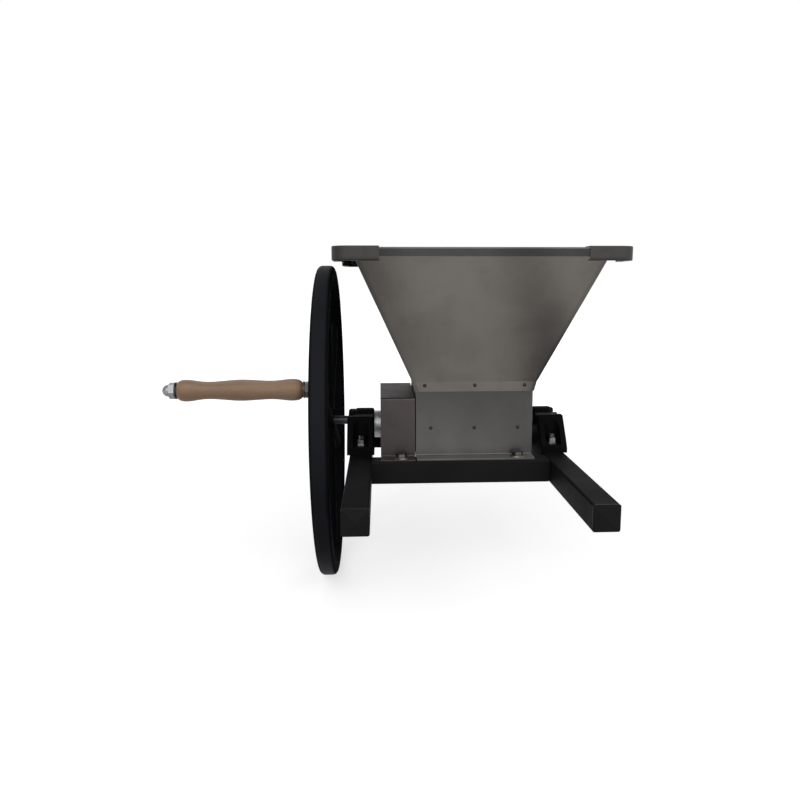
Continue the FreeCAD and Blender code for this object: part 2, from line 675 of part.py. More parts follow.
# ---------------------------------------------------------------- guard beside the chamber
def make_guard():
    top = f"({FRAME_TOP} + guard_height)"
    half = "(chamber_depth / 2)"
    sheet_z = f"({FRAME_TOP} + chamber_sheet)"
    outline = [(f"-{half} - flange_width", FRAME_TOP), (f"-{half} + chamber_sheet", FRAME_TOP),
               (f"-{half} + chamber_sheet", f"{top} - chamber_sheet"),
               (f"{half} - chamber_sheet", f"{top} - chamber_sheet"),
               (f"{half} - chamber_sheet", FRAME_TOP), (f"{half} + flange_width", FRAME_TOP),
               (f"{half} + flange_width", sheet_z), (half, sheet_z), (half, top), (f"-{half}", top),
               (f"-{half}", sheet_z), (f"-{half} - flange_width", sheet_z)]
    cover = place(padded("YZ_Plane", [outline], "guard_width"), GUARD_LEFT)
    bends = []
    for end in ("-", ""):
        bends += [(f"{end}{half}", top, "bend_radius + chamber_sheet"), (f"{end}{half}", sheet_z, "bend_radius"),
                  (f"{end}({half} - chamber_sheet)", f"{top} - chamber_sheet", "bend_radius"),
                  (f"{end}({half} - chamber_sheet)", FRAME_TOP, "bend_radius + chamber_sheet")]
    cover = bent(cover, bends)
    holes = [rod("bolt_radius + fit_gap", "chamber_sheet + 2", GUARD_BOLT, f"{end}{BOLT_LINE}",
                 f"{FRAME_TOP} - 1") for end in ("-", "")]
    node("side_guard_cover", cut(cover, *holes))
    plate = box(GUARD_LEFT, f"-{half} + chamber_sheet", FRAME_TOP, "chamber_sheet",
                "chamber_depth - 2 * chamber_sheet", "guard_height - chamber_sheet")
    plate = rounded(plate, value("bend_radius") + 0.3,
                    lambda edge: is_along_x(edge) and edge.BoundBox.ZMin > value(AXIS_Z))
    node("side_guard_end_plate", cut(plate, rod("shaft_radius + 2", "chamber_sheet + 2", f"{GUARD_LEFT} - 1",
                                                0, AXIS_Z, TO_X)))
    ring = cut(rod("ring_radius", "ring_length"), rod("ring_radius - ring_wall", "ring_length + 2", z=-1))
    node("shaft_ring", place(ring, f"{GUARD_LEFT} - ring_length", 0, f"{AXIS_Z} - {RING_DROP}", TO_X))


# ---------------------------------------------------------------- bolts that hold chamber and guard down
def make_flange_bolts():
    bolts, washers, nuts = [], [], []
    for x, y in flange_bolt_spots():
        seat = f"({FRAME_TOP} + chamber_sheet)" if x == GUARD_BOLT else f"({CHAMBER_Z} + chamber_sheet)"
        washers.append(washer("washer_radius", "bolt_radius + fit_gap", "washer_thickness", x=x, y=y, z=seat))
        head = f"({seat} + washer_thickness)"
        shank = rod("bolt_radius", f"{head} - {FRAME_TOP} + bolt_length - 4", x, y,
                    f"{FRAME_TOP} - bolt_length + 4")
        bolts.append(fuse(hexagon(HEX["flange"], 5, x=x, y=y, z=head), shank))
        barrel = rod("bolt_radius + 1.5", "bolt_length - 3", x, y, f"{FRAME_TOP} - bolt_length + 3")
        bulge = rod("bolt_radius + 2.8", 2.5, x, y, f"{FRAME_TOP} - tube_wall - 2.5")
        bore = rod("bolt_radius + thread_gap", "bolt_length", x, y, f"{FRAME_TOP} - bolt_length + 1")
        nuts.append(cut(fuse(barrel, bulge), bore))
    node("flange_bolts", group(*bolts))
    node("flange_washers", group(*washers))
    node("blind_rivet_nuts", group(*nuts))


# ---------------------------------------------------------------- bearing blocks
def bearing_block(covered):
    """A block for the right-hand leg: its inner face at local X 0, its underside at Z 0.

    Between its shoulders the outer side is recessed down to the bearing's web. A covered block has a boss
    over the outer end of its bearing.
    """
    foot_slope = "(block_length / 2 - 4)"
    outline = [("-block_length / 2", 0), ("-block_length / 2", "block_foot"),
               (f"-{foot_slope}", "block_foot + 6"), ("-block_shoulder_length / 2", "block_shoulder"),
               ("block_shoulder_length / 2", "block_shoulder"), (foot_slope, "block_foot + 6"),
               ("block_length / 2", "block_foot"), ("block_length / 2", 0)]
    body = padded("YZ_Plane", [outline], "block_width")
    body = rounded(body, value("block_round"), lambda edge: not is_along_x(edge) and edge.BoundBox.ZMin > 1)
    recess = box("dome_width", "-recess_length / 2", "recess_floor", "block_width", "recess_length",
                 "block_shoulder")
    body = cut(body, rounded(recess, value("recess_corner"), is_upright))
    dome = rod("dome_radius", "dome_width", 0, 0, "shaft_rise", TO_X)
    dome = rounded(dome, value("block_round"), lambda edge: edge.Length > 20 and edge.Closed)
    parts = [body, dome]
    if covered:
        boss = rod("boss_cover_radius", "block_width - 1", 0, 0, "shaft_rise", TO_X)
        parts.append(rounded(boss, value("block_round") / 2, lambda edge: edge.Length > 20 and edge.Closed))
    pockets = []
    for end, reach in (("-", "-pocket_radius * 4"), ("", "0")):
        y = f"{end}stud_spacing / 2"
        pockets.append(rod("pocket_radius", "block_shoulder", "block_width / 2", y, "block_foot"))
        pockets.append(box("block_width / 2 - pocket_radius", f"{y} + {reach}", "block_foot",
                           "2 * pocket_radius", "pocket_radius * 4", "block_shoulder"))
        pockets.append(rod("stud_radius + 0.5", "block_foot + 2", "block_width / 2", y, -1))
    seat = rod("bearing_radius + bore_gap", f"dome_width / 2 + bearing_width / 2 + 1", -1, 0, "shaft_rise", TO_X)
    mouth = rod("inner_ring_radius + 1.5", "block_width + 2", -1, 0, "shaft_rise", TO_X)
    return cut(fuse(*parts), seat, mouth, *pockets)


def is_along_x(edge):
    low, high = edge.Vertexes[0].Point, edge.Vertexes[-1].Point
    return abs(low.y - high.y) < 1e-6 and abs(low.z - high.z) < 1e-6


def is_along_y(edge):
    low, high = edge.Vertexes[0].Point, edge.Vertexes[-1].Point
    return abs(low.x - high.x) < 1e-6 and abs(low.z - high.z) < 1e-6


def outer_ring():
    """A bearing's outer ring about local X, its groove at X 0."""
    blank = rod("bearing_radius", "bearing_width", "-bearing_width / 2", 0, 0, TO_X)
    bore = rod("outer_ring_bore", "bearing_width + 2", "-bearing_width / 2 - 1", 0, 0, TO_X)
    return cut(blank, bore, race())


def inner_ring():
    """A long inner ring about local X, its groove at X 0 and its set screw holes towards +X."""
    start = "(-bearing_width / 2)"
    blank = rod("inner_ring_radius", "inner_ring_length", start, 0, 0, TO_X)
    bore = rod("journal_radius + bore_gap", "inner_ring_length + 2", f"{start} - 1", 0, 0, TO_X)
    holes = [rod("set_screw_radius", 20, f"{start} + inner_ring_length - 5", 0, 0, turn)
             for turn in (LEVEL, TO_Y)]
    return cut(blank, bore, race(), *holes)


def race():
    torus = doc.addObject("Part::Torus", "Race")
    bind(torus, Radius1=RACE_RADIUS, Radius2="ball_radius + ball_clearance")
    return place(torus, turn=TO_X)


def make_bearings():
    """Both blocks with their bearings. The left side is the right side turned half round."""
    studs, nuts, washers, balls, screws = [], [], [], [], []
    half_turn = Rotation(Vector(0, 0, 1), 180)
    for side, sign, turn in (("left", "-", half_turn), ("right", "", LEVEL)):
        block = bearing_block(side == "left")
        node(f"{side}_bearing_block", place(block, f"{sign}{BLOCK_IN}", 0, FRAME_TOP, turn))
        node(f"{side}_outer_ring", place(outer_ring(), f"{sign}{BEARING_MID}", 0, AXIS_Z, turn))
        node(f"{side}_inner_ring", place(inner_ring(), f"{sign}{BEARING_MID}", 0, AXIS_Z, turn))
        for n in range(BALLS):
            angle = 2 * math.pi * (n + 0.5) / BALLS
            balls.append(ball("ball_radius", f"{sign}{BEARING_MID}", f"{RACE_RADIUS} * {math.cos(angle):.6f}",
                              f"{AXIS_Z} + {RACE_RADIUS} * {math.sin(angle):.6f}"))
        screw_x = f"{sign}({BEARING_IN} + inner_ring_length - 5)"
        depth = "(inner_ring_radius - journal_radius - 0.5)"
        screws.append(rod("set_screw_radius - thread_gap", depth, screw_x, 0, f"{AXIS_Z} + journal_radius + 0.3"))
        screws.append(rod("set_screw_radius - thread_gap", depth, screw_x, f"{sign}(journal_radius + 0.3)", AXIS_Z,
                          TO_Y if side == "right" else TO_MINUS_Y))
        for end in ("-", ""):
            where = {"x": f"{sign}{LEG_X}", "y": f"{end}stud_spacing / 2"}
            foot_top = f"({FRAME_TOP} + block_foot)"
            studs.append(rod("stud_radius", "block_foot + stud_reach", **where, z=f"{FRAME_TOP} - tube_wall - 3"))
            washers.append(washer("pocket_radius - 0.3", "stud_radius + fit_gap", "washer_thickness", **where,
                                  z=foot_top))
            nuts.append(nut(HEX["stud"], "stud_nut_height", "stud_radius + thread_gap", **where,
                            z=f"{foot_top} + washer_thickness"))
    node("bearing_studs", group(*studs))
    node("stud_washers", group(*washers))
    node("stud_nuts", group(*nuts))
    node("bearing_balls", group(*balls))
    node("bearing_set_screws", group(*screws))


# ---------------------------------------------------------------- shaft and drum
def make_shaft():
    """The stepped shaft: slim in the wheel and the bearings, full size between them."""
    tip = f"({HUB_LEFT} - washer_thickness - end_nut_height - 2)"
    end = f"({BEARING_IN} + inner_ring_length + 1)"
    outline = [(tip, 0), (tip, "journal_radius - 1"), (f"{tip} + 1", "journal_radius"),
               (f"-{BEARING_IN}", "journal_radius"), (f"-{BEARING_IN}", "shaft_radius"),
               (BEARING_IN, "shaft_radius"), (BEARING_IN, "journal_radius"),
               (f"{end} - 1", "journal_radius"), (end, "journal_radius - 1"), (end, 0)]
    shaft = turned(outline)
    drum_keyway = box("chamber_centre - 20", "-key_width / 2", "shaft_radius - 2.5", 40, "key_width", 10)
    wheel_keyway = box(f"{HUB_LEFT} + 2", "-key_width / 2", "journal_radius - 2", "hub_length - 4", "key_width",
                       10)
    node("shaft", on_rotor(cut(shaft, drum_keyway, wheel_keyway)))
    drum_key = box("chamber_centre - 20", "-key_width / 2", "shaft_radius - 2.5", 40, "key_width", 4.5)
    wheel_key = box(f"{HUB_LEFT} + 2", "-key_width / 2", "journal_radius - 2", "hub_length - 4", "key_width", 4)
    node("shaft_keys", on_rotor(group(drum_key, wheel_key)))


def make_drum():
    blank = rod("drum_radius", "drum_length", DRUM_LEFT, 0, 0, TO_X)
    bore = rod("shaft_radius + bore_gap", "drum_length + 2", f"{DRUM_LEFT} - 1", 0, 0, TO_X)
    keyway = box(f"{DRUM_LEFT} - 1", "-key_width / 2", "shaft_radius - 1", "drum_length + 2", "key_width", 3.1)
    slots = []
    for n in range(BLADES):
        slot = box(f"{DRUM_LEFT} - 1", "-blade_thickness / 2 - fit_gap / 2", "drum_radius - blade_depth + blade_stand",
                   "drum_length + 2", "blade_thickness + fit_gap", "blade_depth + 5")
        slots.append(place(group(slot), turn=blade_turn(n)))
    taps = [rod(2.5, 12, x, 0, 0, TO_X) for x in (f"{DRUM_LEFT} - 1", f"{DRUM_LEFT} + drum_length - 11")]
    screw_holes = [place(group(tap), 0, f"disc_screw_circle * {y:.6f}", f"disc_screw_circle * {z:.6f}")
                   for y, z in screw_directions() for tap in taps]
    node("drum", on_rotor(cut(blank, bore, keyway, *slots, *screw_holes)))


def blade_turn(n):
    return Rotation(Vector(1, 0, 0), 360 / BLADES * (n + 0.5))


def screw_directions():
    angles = [2 * math.pi * n / BLADES for n in range(BLADES)]
    return [(math.cos(angle), math.sin(angle)) for angle in angles]


def make_blades():
    """Saw toothed strips set in the drum's slots."""
    low = f"(drum_radius - blade_depth + blade_stand + fit_gap / 2)"
    root = f"({BLADE_TIP} - 5)"
    pitch = f"(drum_length / {BLADE_TEETH})"
    for n in range(BLADES):
        outline = [(f"{DRUM_LEFT} + drum_length", low), (DRUM_LEFT, low)]
        for tooth in range(BLADE_TEETH):
            outline.append((f"{DRUM_LEFT} + {tooth} * {pitch}", root))
            outline.append((f"{DRUM_LEFT} + ({tooth} + 0.35) * {pitch}", BLADE_TIP))
            outline.append((f"{DRUM_LEFT} + ({tooth} + 0.65) * {pitch}", BLADE_TIP))
        outline.append((f"{DRUM_LEFT} + drum_length", root))
        blade = padded("XZ_Plane", [outline], "blade_thickness", symmetric=True)
        node(f"drum_blade_{n + 1}", place(blade, 0, 0, AXIS_Z, blade_turn(n)))


def make_drum_ends():
    screws = []
    for side, x, turn, head in (("left", f"({DRUM_LEFT} - disc_thickness)", TO_MINUS_X, 0),
                                ("right", f"({DRUM_LEFT} + drum_length)", TO_X, "disc_thickness")):
        disc = rod("disc_radius", "disc_thickness", x, 0, 0, TO_X)
        bore = rod("shaft_radius + bore_gap", "disc_thickness + 2", f"{x} - 1", 0, 0, TO_X)
        holes = [rod(2.6, "disc_thickness + 2", f"{x} - 1", f"disc_screw_circle * {y:.6f}",
                     f"disc_screw_circle * {z:.6f}", TO_X) for y, z in screw_directions()]
        node(f"drum_{side}_disc", on_rotor(cut(disc, bore, *holes)))
        for y, z in screw_directions():
            screw = fuse(rod(2.45, "disc_thickness + 7.5", z="-disc_thickness - 7.5"), rod(4.2, 1.2))
            screws.append(place(screw, f"{x} + {head}", f"disc_screw_circle * {y:.6f}",
                                f"{AXIS_Z} + disc_screw_circle * {z:.6f}", turn))
    node("disc_screws", group(*screws))


# ---------------------------------------------------------------- flywheel
def spoke(angle):
    """A straight spoke along local +Y, oval in section, broad at hub and rim and slim between."""
    body = doc.addObject("PartDesign::Body", "Body")
    reach = "(wheel_radius - rim_depth / 2)"
    stations = [("hub_radius * 0.6", "spoke_width / 2"), (f"(hub_radius + {reach}) * 0.42", "spoke_width * 0.36"),
                (f"(hub_radius + {reach}) * 0.66", "spoke_width * 0.34"), (reach, "spoke_width * 0.46")]
    ovals = []
    for distance, half_width in stations:
        oval = body.newObject("Sketcher::SketchObject", "Oval")
        oval.AttachmentSupport = [(plane_of(body, "XZ_Plane"), "")]
        oval.MapMode = "FlatFace"
        bind(oval, AttachmentOffset__Base__z=f"-({distance})")
        add_oval(oval, "spoke_thickness / 2", half_width)
        ovals.append(oval)
    loft = body.newObject("PartDesign::AdditiveLoft", "Spoke")
    loft.Profile = ovals[0]
    loft.Sections = ovals[1:]
    loft.Ruled = False
    return place(body, "-wheel_centre", turn=Rotation(Vector(1, 0, 0), angle))


def add_oval(item, half_thickness, half_width):
    """An ellipse about the origin, its long axis along the sketch's Y."""
    index = item.addGeometry(Part.Ellipse(Vector(0, value(half_width), 0), Vector(value(half_thickness), 0, 0),
                                          Vector()), False)
    item.exposeInternalGeometry(index)
    item.addConstraint(Sketcher.Constraint("Coincident", index, 3, -1, 1))
    for line, length in ((index + 1, half_width), (index + 2, half_thickness)):
        constraint = item.addConstraint(Sketcher.Constraint("Distance", line, 1.0))
        item.setExpression(f"Constraints[{constraint}]", sized(f"2 * ({length})"))
    item.addConstraint(Sketcher.Constraint("Vertical", index + 1))


def make_flywheel():
    """Rim, hub, spokes and crank boss, cast in one piece about local X, the crank towards +Y."""
    left, right = WHEEL_LEFT, "(-wheel_centre + wheel_width / 2)"
    inner = "(wheel_radius - rim_depth)"
    rim = turned([(left, f"{inner} + 4"), (f"{left} + 4", inner), (f"{right} - 4", inner), (right, f"{inner} + 4"),
                  (right, "wheel_radius"), (left, "wheel_radius")])
    rim = rounded(rim, value("rim_round"), lambda edge: edge.BoundBox.YLength > 2 * value("wheel_radius") - 1)
    hub = turned([(HUB_LEFT, 0), (HUB_LEFT, "hub_radius - 2"), (f"{HUB_LEFT} + 2", "hub_radius"),
                  (f"{HUB_RIGHT} - 2", "hub_radius"), (HUB_RIGHT, "hub_radius - 2"), (HUB_RIGHT, 0)])
    spokes = [spoke(360 / SPOKES * n) for n in range(SPOKES)]
    boss = rod("boss_radius", "wheel_width - 1", left, "crank_radius", 0, TO_X)
    bore = rod("journal_radius + bore_gap", "hub_length + 2", f"{HUB_LEFT} - 1", 0, 0, TO_X)
    keyway = box(f"{HUB_LEFT} - 1", "-key_width / 2", 0, "hub_length + 2", "key_width", "journal_radius + 2.1")
    spindle_hole = rod("spindle_radius + bore_gap", "wheel_width + 4", f"{left} - 1", "crank_radius", 0, TO_X)
    doc.recompute()
    wheel = cut(fuse(rim, hub, *spokes, boss), bore, place(group(keyway), turn=unturned_crank()), spindle_hole)
    node("flywheel", crank_placed(wheel))
    end_washer = washer(11, "journal_radius + thread_gap", "washer_thickness", x=HUB_LEFT, z=AXIS_Z,
                        turn=TO_MINUS_X)
    end_nut = nut(HEX["end"], "end_nut_height", "journal_radius + thread_gap", x=f"{HUB_LEFT} - washer_thickness",
                  z=AXIS_Z, turn=TO_MINUS_X)
    node("shaft_end_washer", end_washer)
    node("shaft_end_nut", end_nut)


def unturned_crank():
    """Takes the crank's angle off again, for the hub's keyway, which stays in line with the shaft's."""
    return Rotation(Vector(1, 0, 0), -SIZES["crank_angle"])


def crank_placed(item, x=0, y=0):
    """Place a piece that is drawn with the crank towards +Y."""
    item.Placement = Placement(Vector(), Rotation(Vector(1, 0, 0), 1))
    bind(item, Placement__Rotation__Angle="crank_angle", Placement__Base__x=x,
         Placement__Base__y=f"({y}) * cos(crank_angle)",
         Placement__Base__z=f"{AXIS_Z} + ({y}) * sin(crank_angle)")
    return item


# ---------------------------------------------------------------- crank grip
def make_crank():
    """The spindle and everything on it, drawn about local X and set out to the crank's radius."""
    tip = f"({TIP_WASHER_LEFT} - acorn_height + 4)"
    root = "(-wheel_centre + wheel_width / 2 - 2)"
    spindle = rod("spindle_radius", f"{root} - {tip}", tip, 0, 0, TO_X)
    node("crank_spindle", crank_placed(group(spindle), 0, "crank_radius"))
    lock = nut(HEX["spindle"], "spindle_nut_height", "spindle_radius + thread_gap", x=WHEEL_LEFT, turn=TO_MINUS_X)
    node("spindle_nut", crank_placed(group(lock), 0, "crank_radius"))
    washers = [washer(10, "spindle_radius + fit_gap", "washer_thickness", x=x, turn=TO_MINUS_X)
               for x in (NUT_SIDE, f"{GRIP_LEFT} - grip_end_gap")]
    node("grip_washers", crank_placed(group(*washers), 0, "crank_radius"))
    node("acorn_nut", crank_placed(acorn_nut(), 0, "crank_radius"))
    node("grip", crank_placed(grip(), 0, "crank_radius"))
    bushes = []
    for x in (GRIP_LEFT, f"{GRIP_RIGHT} - bush_length"):
        bushes.append(cut(rod("bush_radius", "bush_length", x, 0, 0, TO_X),
                          rod("spindle_radius + bush_clearance", "bush_length + 2", f"{x} - 1", 0, 0, TO_X)))
    node("grip_bushes", crank_placed(group(*bushes), 0, "crank_radius"))


def acorn_nut():
    """A domed cap nut pointing to -X from the tip washer."""
    hexed = hexagon(HEX["spindle"], 7, x=TIP_WASHER_LEFT, turn=TO_MINUS_X)
    neck = rod(7, "acorn_height - 7", f"{TIP_WASHER_LEFT} - acorn_height + 7", 0, 0, TO_X)
    dome = ball(7, f"{TIP_WASHER_LEFT} - acorn_height + 7")
    bore = rod("spindle_radius + thread_gap", "acorn_height - 3.5", f"{TIP_WASHER_LEFT} - acorn_height + 3.5", 0, 0,
               TO_X)
    return cut(fuse(hexed, neck, dome), bore)


def grip():
    """A turned wooden grip: flared round ends, two waists and a swell between them."""
    length, full = value("grip_length"), value("grip_radius")
    left = value(GRIP_LEFT)
    outline = [(0.0, 0.62), (0.025, 0.90), (0.07, 1.0), (0.19, 0.84), (0.50, 0.975), (0.80, 0.885),
               (0.93, 1.0), (0.98, 0.86), (1.0, 0.62)]
    curve = Part.BSplineCurve()
    curve.interpolate([Vector(left + along * length, share * full, 0) for along, share in outline])
    arcs = curve.toBiArcs(0.02)
    bore = value("bush_radius")
    start, end = Vector(left, bore, 0), Vector(left + length, bore, 0)
    sides = [Part.makeLine(start, arcs[0].StartPoint), *[arc.toShape() for arc in arcs],
             Part.makeLine(arcs[-1].EndPoint, end), Part.makeLine(end, start)]
    item = doc.addObject("Part::Feature", "Grip")
    item.Shape = Part.Face(Part.Wire(sides)).revolve(Vector(), Vector(1, 0, 0), 360)
    return item


# ---------------------------------------------------------------- build, check and write
def check():
    doc.recompute()
    faults = [f"{item.Name} {item.State}" for item in doc.Objects
              if "Invalid" in item.State or "Error" in item.State]
    for item in nodes:
        shape = item.Shape
        if shape.isNull() or not shape.isValid() or not shape.Solids:
            faults.append(f"{item.Label} has a bad shape")
        elif min(solid.Volume for solid in shape.Solids) <= 0:
            faults.append(f"{item.Label} has an empty solid")
    if faults:
        raise RuntimeError("; ".join(faults))


def write():
    os.makedirs("parts", exist_ok=True)
    for item in nodes:
        item.Shape.exportStep(f"parts/{item.Label}.step")
        print(f"{item.Label:24s} solids {len(item.Shape.Solids):3d}  volume {item.Shape.Volume:12.1f}")
    print(len(nodes), "nodes")


make_legs()
make_cross_members()
make_leg_plugs()
make_chamber_walls()
make_chamber_sides()
make_comb_rivets()
make_chute()
make_shaft_seals()
make_hopper_panels()
make_skirt_rivets()
make_corner_caps()
make_guard()
make_flange_bolts()
make_bearings()
make_shaft()
make_drum()
make_blades()
make_drum_ends()
make_flywheel()
make_crank()
check()
write()
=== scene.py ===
import json
import math

import bpy
from mathutils import Matrix, Vector


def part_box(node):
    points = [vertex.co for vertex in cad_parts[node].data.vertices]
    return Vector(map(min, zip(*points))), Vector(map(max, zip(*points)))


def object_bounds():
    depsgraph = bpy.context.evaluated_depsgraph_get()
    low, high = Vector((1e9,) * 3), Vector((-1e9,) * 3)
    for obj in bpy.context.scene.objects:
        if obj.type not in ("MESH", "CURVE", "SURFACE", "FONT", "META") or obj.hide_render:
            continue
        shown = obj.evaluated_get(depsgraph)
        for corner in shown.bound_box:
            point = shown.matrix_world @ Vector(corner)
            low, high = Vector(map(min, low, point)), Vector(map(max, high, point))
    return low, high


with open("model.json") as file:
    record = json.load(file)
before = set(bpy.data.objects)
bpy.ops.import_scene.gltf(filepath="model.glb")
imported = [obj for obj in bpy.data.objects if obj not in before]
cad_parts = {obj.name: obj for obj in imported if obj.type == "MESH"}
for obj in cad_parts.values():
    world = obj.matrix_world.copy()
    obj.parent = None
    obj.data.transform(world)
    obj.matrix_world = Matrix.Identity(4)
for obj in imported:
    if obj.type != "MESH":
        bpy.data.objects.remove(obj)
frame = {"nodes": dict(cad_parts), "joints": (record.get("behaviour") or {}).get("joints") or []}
cad_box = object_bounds()
nodes = frame["nodes"]

MM = 0.001
PHOTO = 800                             # the photograph's width and height, in pixels

# The part's own measures, in metres.
crank = next(joint for joint in frame["joints"] if joint["name"] == "crank_spin")
plate_low, plate_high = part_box("chamber_front_plate")
AXIS_Z = crank["pos_m"][2]              # height of the shaft's axis
CHAMBER_X = (plate_low.x + plate_high.x) / 2
CHAMBER_LEFT = plate_low.x              # outer face of the chamber's left plate
CHAMBER_FOOT = plate_low.z
FOLD_Z = plate_high.z                   # where the hopper starts to widen
RIM_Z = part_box("hopper_front_panel")[1].z
CAP_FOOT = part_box("rim_cap_front_left")[0].z
TUBE_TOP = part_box("front_cross_tube")[1].z
GUARD_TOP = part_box("side_guard_cover")[1].z
WHEEL_RADIUS = AXIS_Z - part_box("flywheel")[0].z


# ---------------------------------------------------------------- camera, as the photograph was taken
def make_camera():
    """The camera as solved from the edges of the frame's tubes in the photograph."""
    focal, centre_x, centre_y = 753.4, 419.1, 413.2         # pixels
    place = Vector((-104.0, -1058.2, 256.6)) * MM
    pitch, yaw, roll = math.radians(9.676), math.radians(2.958), math.radians(0.074)
    forward = Vector((math.sin(yaw) * math.cos(pitch), math.cos(yaw) * math.cos(pitch), -math.sin(pitch)))
    level = Vector((math.cos(yaw), -math.sin(yaw), 0))
    down = forward.cross(level)
    right = math.cos(roll) * level + math.sin(roll) * down
    up = -(-math.sin(roll) * level + math.cos(roll) * down)
    data = bpy.data.cameras.new("Camera")
    data.sensor_width = 36
    data.lens = focal * data.sensor_width / PHOTO
    data.shift_x = (PHOTO / 2 - centre_x) / PHOTO
    data.shift_y = (centre_y - PHOTO / 2) / PHOTO
    data.clip_start = 0.05
    data.clip_end = 60
    data.dof.use_dof = False
    camera = bpy.data.objects.new("Camera", data)
    bpy.context.scene.collection.objects.link(camera)
    axes = Matrix((right, up, -forward)).transposed().to_4x4()
    camera.matrix_world = Matrix.Translation(place) @ axes
    bpy.context.scene.camera = camera


# ---------------------------------------------------------------- node trees
class Tree:
    """A material's or world's node tree, with short calls to add and join nodes."""

    def __init__(self, owner):
        owner.use_nodes = True
        self.tree = owner.node_tree
        self.tree.nodes.clear()

    def add(self, kind, outlet=0, inputs=None, **settings):
        node = self.tree.nodes.new(kind)
        for name, setting in settings.items():
            setattr(node, name, setting)
        for name, source in (inputs or {}).items():
            self.join(source, node.inputs[name])
        return node.outputs[outlet] if node.outputs else node

    def join(self, source, socket):
        if isinstance(source, bpy.types.NodeSocket):
            self.tree.links.new(source, socket)
        else:
            socket.default_value = source

    def place(self, stretch=(1, 1, 1), start=(0, 0, 0)):
        """Position on the piece at rest, in metres, stretched along its axes."""
        spot = self.add("ShaderNodeTexCoord", outlet="Object")
        return self.add("ShaderNodeMapping", inputs={"Vector": spot, "Scale": stretch, "Location": start})

    def along(self, vector, axis):
        return self.add("ShaderNodeSeparateXYZ", outlet=axis, inputs={"Vector": vector})

    def length(self, vector):
        return self.add("ShaderNodeVectorMath", outlet="Value", operation="LENGTH", inputs={0: vector})

    def facing(self, axis):
        """How far the surface faces along an axis, from -1 to 1."""
        return self.along(self.add("ShaderNodeNewGeometry", outlet="Normal"), axis)

    def noise(self, vector, scale, detail, roughness, distortion=0.0):
        return self.add("ShaderNodeTexNoise", inputs={"Vector": vector, "Scale": scale, "Detail": detail,
                                                      "Roughness": roughness, "Distortion": distortion})

    def spread(self, value, low, high, to_low=0.0, to_high=1.0, smooth=False):
        return self.add("ShaderNodeMapRange", interpolation_type="SMOOTHSTEP" if smooth else "LINEAR",
                        inputs={"Value": value, "From Min": low, "From Max": high,
                                "To Min": to_low, "To Max": to_high})

    def maths(self, how, *values, clamp=False):
        node = self.tree.nodes.new("ShaderNodeMath")
        node.operation = how
        node.use_clamp = clamp
        for socket, value in zip(node.inputs, values):
            self.join(value, socket)
        return node.outputs[0]

    def mix(self, share, first, second, how="MIX"):
        node = self.tree.nodes.new("ShaderNodeMix")
        node.data_type = "RGBA"
        node.blend_type = how
        for socket, value in ((node.inputs[0], share), (node.inputs[6], first), (node.inputs[7], second)):
            self.join(value, socket)
        return node.outputs[2]

    def bump(self, height, strength, distance, normal=None):
        inputs = {"Height": height, "Strength": strength, "Distance": distance}
        if normal is not None:
            inputs["Normal"] = normal
        return self.add("ShaderNodeBump", inputs=inputs)

    def edge(self, radius):
        """0 on flat faces, rising towards 1 at edges."""
        rounded = self.add("ShaderNodeBevel", inputs={"Radius": radius}, samples=4)
        straight = self.add("ShaderNodeNewGeometry", outlet="Normal")
        node = self.tree.nodes.new("ShaderNodeVectorMath")
        node.operation = "DOT_PRODUCT"
        self.join(rounded, node.inputs[0])
        self.join(straight, node.inputs[1])
        return self.spread(node.outputs["Value"], 0.995, 0.80)

    def finish(self, **inputs):
        """The surface, from its inputs' names with _ in place of spaces."""
        named = {name.replace("_", " "): value for name, value in inputs.items()}
        shader = self.add("ShaderNodeBsdfPrincipled", inputs=named)
        self.tree.links.new(shader, self.add("ShaderNodeOutputMaterial").inputs["Surface"])


def grey(level):
    return (level, level, level, 1)


def shade(colour, factor):
    return (colour[0] * factor, colour[1] * factor, colour[2] * factor, 1)


def new_material(name):
    material = bpy.data.materials.new(name)
    return material, Tree(material)


def assign(material, *names):
    for name in names:
        slots = nodes[name].data.materials
        slots.clear()
        slots.append(material)


